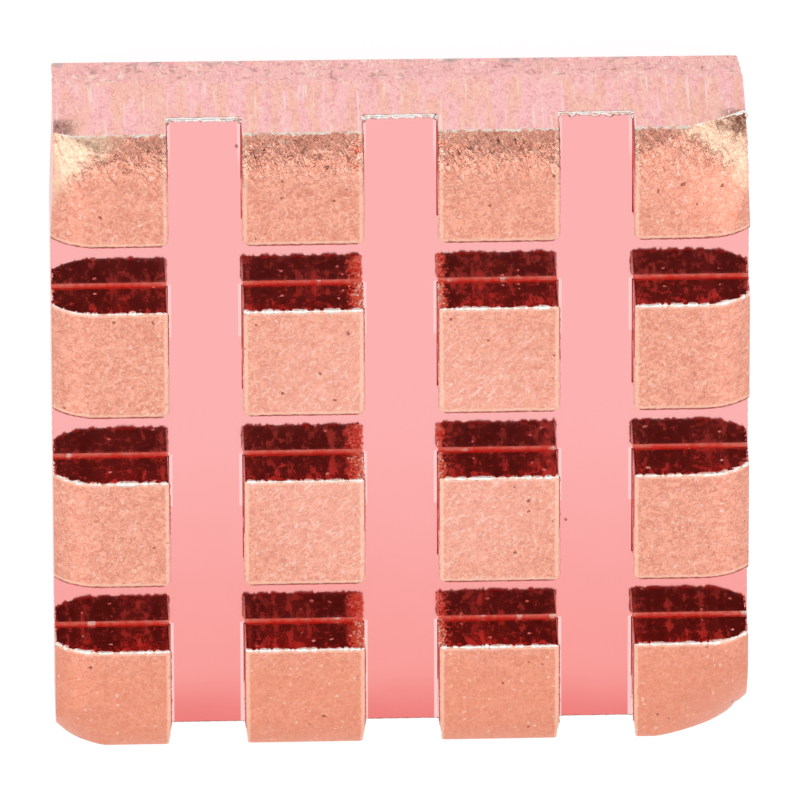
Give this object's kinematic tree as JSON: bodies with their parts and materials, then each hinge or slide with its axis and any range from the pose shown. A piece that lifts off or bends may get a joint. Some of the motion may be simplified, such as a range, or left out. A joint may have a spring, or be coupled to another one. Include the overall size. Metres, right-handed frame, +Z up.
{
  "type": "pin fin heat sink",
  "caption": "Small square copper heat sink: a solid punched base with a grid of square pins left by crossed saw slots, flat underneath for sticking to a chip.",
  "frame": {"origin": "centre of the flat underside", "axes": "+Z up from the underside towards the pin tops, X and Y along the two directions of the slots"},
  "size_m": [0.012, 0.012, 0.003],
  "materials": {
    "copper": "bare copper: tumbled satin pin tops, polished sawn slot floors, sheared and scratched sides"
  },
  "bodies": {
    "root": {"heat_sink": "copper"}
  },
  "joints": []
}
